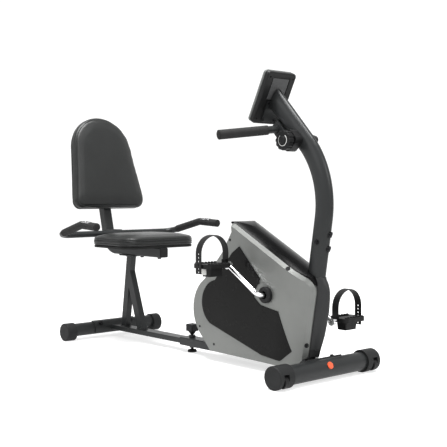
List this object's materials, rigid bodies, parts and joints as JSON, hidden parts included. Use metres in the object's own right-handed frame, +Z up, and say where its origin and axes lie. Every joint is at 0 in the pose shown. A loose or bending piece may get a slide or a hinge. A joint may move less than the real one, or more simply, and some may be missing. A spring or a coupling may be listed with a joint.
{
  "type": "recumbent exercise bike",
  "caption": "Recumbent exercise bike with a padded seat and backrest on a sliding carriage, an enclosed belt-driven flywheel, strapped pedals, side handles and a console on a curved mast.",
  "frame": {"origin": "on the floor, under the middle of the bounding box at the rest pose", "axes": "+X forward from the seat to the console, +Y to the rider's left, +Z up"},
  "size_m": [1.365, 0.6302, 1.0173],
  "materials": {
    "frame_paint": "satin charcoal powder coat",
    "cap_plastic": "fine-textured moulded plastic",
    "wheel_plastic": "smooth moulded nylon",
    "reflector_plastic": "glossy prismatic reflector",
    "zinc_steel": "zinc-plated fasteners",
    "black_screws": "black oxide screws",
    "grip_foam": "closed-cell foam",
    "knob_plastic": "moulded black plastic",
    "console_black": "fine-textured moulded plastic",
    "console_silver": "satin silver-grey plastic",
    "lens_plastic": "clear window over a dark display",
    "button_plastic": "soft grey plastic",
    "shroud_silver": "satin silver-grey plastic",
    "panel_black": "glossy black plastic",
    "spine_black": "textured black plastic",
    "nose_charcoal": "satin charcoal plastic",
    "crank_chrome": "bright chrome plate",
    "pulley_plastic": "moulded nylon",
    "belt_rubber": "ribbed rubber",
    "flywheel_iron": "turned cast iron",
    "brake_steel": "plated steel",
    "pedal_plastic": "moulded black plastic",
    "strap_rubber": "flexible moulded strap",
    "foot_rubber": "hard rubber",
    "board_plastic": "moulded backing board",
    "cushion_leather": "black grained artificial leather"
  },
  "bodies": {
    "frame": {"front_stabiliser": "frame_paint", "front_end_caps": "cap_plastic", "front_saddle_bolts": "zinc_steel", "front_reflector": "reflector_plastic", "main_frame": "frame_paint", "mast_tube": "frame_paint", "mast_bolts": "zinc_steel", "handlebar": "frame_paint", "handlebar_grips": "grip_foam", "handlebar_clamp": "frame_paint", "knob_housing": "knob_plastic", "console_back": "console_black", "console_bezel": "console_silver", "console_lens": "lens_plastic", "battery_door": "console_black", "console_bracket": "frame_paint", "console_screws": "black_screws", "right_shroud": "shroud_silver", "left_shroud": "shroud_silver", "right_side_panel": "panel_black", "left_side_panel": "panel_black", "spine_cover": "spine_black", "front_cover": "nose_charcoal", "foot_guard": "cap_plastic", "crank_rings": "spine_black", "shroud_screws": "black_screws", "bearing_cups": "zinc_steel", "drive_belt": "belt_rubber", "flywheel_axle": "zinc_steel", "axle_nuts": "zinc_steel"},
    "seat_carriage": {"rear_stabiliser": "frame_paint", "rear_end_caps": "cap_plastic", "rear_saddle_bolts": "zinc_steel", "seat_frame": "frame_paint", "seat_post": "frame_paint", "seat_board": "board_plastic", "seat_cushion": "cushion_leather", "back_cushion": "cushion_leather", "back_board": "board_plastic", "seat_handle": "frame_paint", "seat_grips": "grip_foam", "seat_bolts": "zinc_steel"},
    "crank_set": {"crank": "crank_chrome", "crank_pulley": "pulley_plastic", "pedal_spindles": "zinc_steel"},
    "right_pedal_set": {"right_pedal": "pedal_plastic", "right_pedal_strap": "strap_rubber"},
    "left_pedal_set": {"left_pedal": "pedal_plastic", "left_pedal_strap": "strap_rubber"},
    "flywheel_set": {"flywheel": "flywheel_iron", "flywheel_pulley": "pulley_plastic"},
    "tension_dial": {"tension_knob": "knob_plastic"},
    "magnet_brake": {"magnet_arm": "brake_steel"},
    "clamp_screw": {"clamp_knob": "knob_plastic"},
    "level_foot": {"levelling_foot": "foot_rubber"},
    "right_wheel": {"right_transport_wheel": "wheel_plastic"},
    "left_wheel": {"left_transport_wheel": "wheel_plastic"},
    "mode_key": {"mode_button": "button_plastic"},
    "set_key": {"set_button": "button_plastic"},
    "reset_key": {"reset_button": "button_plastic"}
  },
  "joints": [
    {"name": "seat_slide", "type": "slide", "parent": "frame", "child": "seat_carriage", "axis": [1, 0, 0], "range_m": [-0.12, 0.16]},
    {"name": "crank_spin", "type": "hinge", "parent": "frame", "child": "crank_set", "pos_m": [0.4395, 0, 0.263], "axis": [0, 1, 0], "continuous": true},
    {"name": "right_pedal_spin", "type": "hinge", "parent": "crank_set", "child": "right_pedal_set", "pos_m": [0.30761, -0.192, 0.35707], "axis": [0, 1, 0], "continuous": true},
    {"name": "left_pedal_spin", "type": "hinge", "parent": "crank_set", "child": "left_pedal_set", "pos_m": [0.57139, 0.192, 0.16893], "axis": [0, 1, 0], "continuous": true},
    {"name": "flywheel_spin", "type": "hinge", "parent": "frame", "child": "flywheel_set", "pos_m": [0.2025, 0, 0.172], "axis": [0, 1, 0], "continuous": true},
    {"name": "tension_turn", "type": "hinge", "parent": "frame", "child": "tension_dial", "pos_m": [0.5225, -0.066, 0.776], "axis": [0, 1, 0], "range_deg": [0, 270]},
    {"name": "brake_swing", "type": "hinge", "parent": "frame", "child": "magnet_brake", "pos_m": [0.15455, 0.009, 0.29068], "axis": [0, 1, 0], "range_deg": [0, 4]},
    {"name": "clamp_turn", "type": "hinge", "parent": "frame", "child": "clamp_screw", "pos_m": [-0.0275, 0, 0.09], "axis": [0, 0, 1], "range_deg": [0, 360]},
    {"name": "foot_turn", "type": "hinge", "parent": "frame", "child": "level_foot", "pos_m": [-0.0275, 0, 0.01], "axis": [0, 0, 1], "range_deg": [-360, 360]},
    {"name": "right_wheel_spin", "type": "hinge", "parent": "frame", "child": "right_wheel", "pos_m": [0.6625, -0.214, 0.026], "axis": [0, 1, 0], "continuous": true},
    {"name": "left_wheel_spin", "type": "hinge", "parent": "frame", "child": "left_wheel", "pos_m": [0.6625, 0.214, 0.026], "axis": [0, 1, 0], "continuous": true},
    {"name": "mode_press", "type": "slide", "parent": "frame", "child": "mode_key", "axis": [0.8944, 0, -0.4472], "range_m": [0, 0.0012], "stiffness_N_per_m": 400},
    {"name": "set_press", "type": "slide", "parent": "frame", "child": "set_key", "axis": [0.8944, 0, -0.4472], "range_m": [0, 0.0012], "stiffness_N_per_m": 400},
    {"name": "reset_press", "type": "slide", "parent": "frame", "child": "reset_key", "axis": [0.8944, 0, -0.4472], "range_m": [0, 0.0012], "stiffness_N_per_m": 400}
  ],
  "couplings": [
    {"joint": "flywheel_spin", "follows": "crank_spin", "ratio": 5.1579},
    {"joint": "brake_swing", "follows": "tension_turn", "ratio": 0.014815}
  ]
}
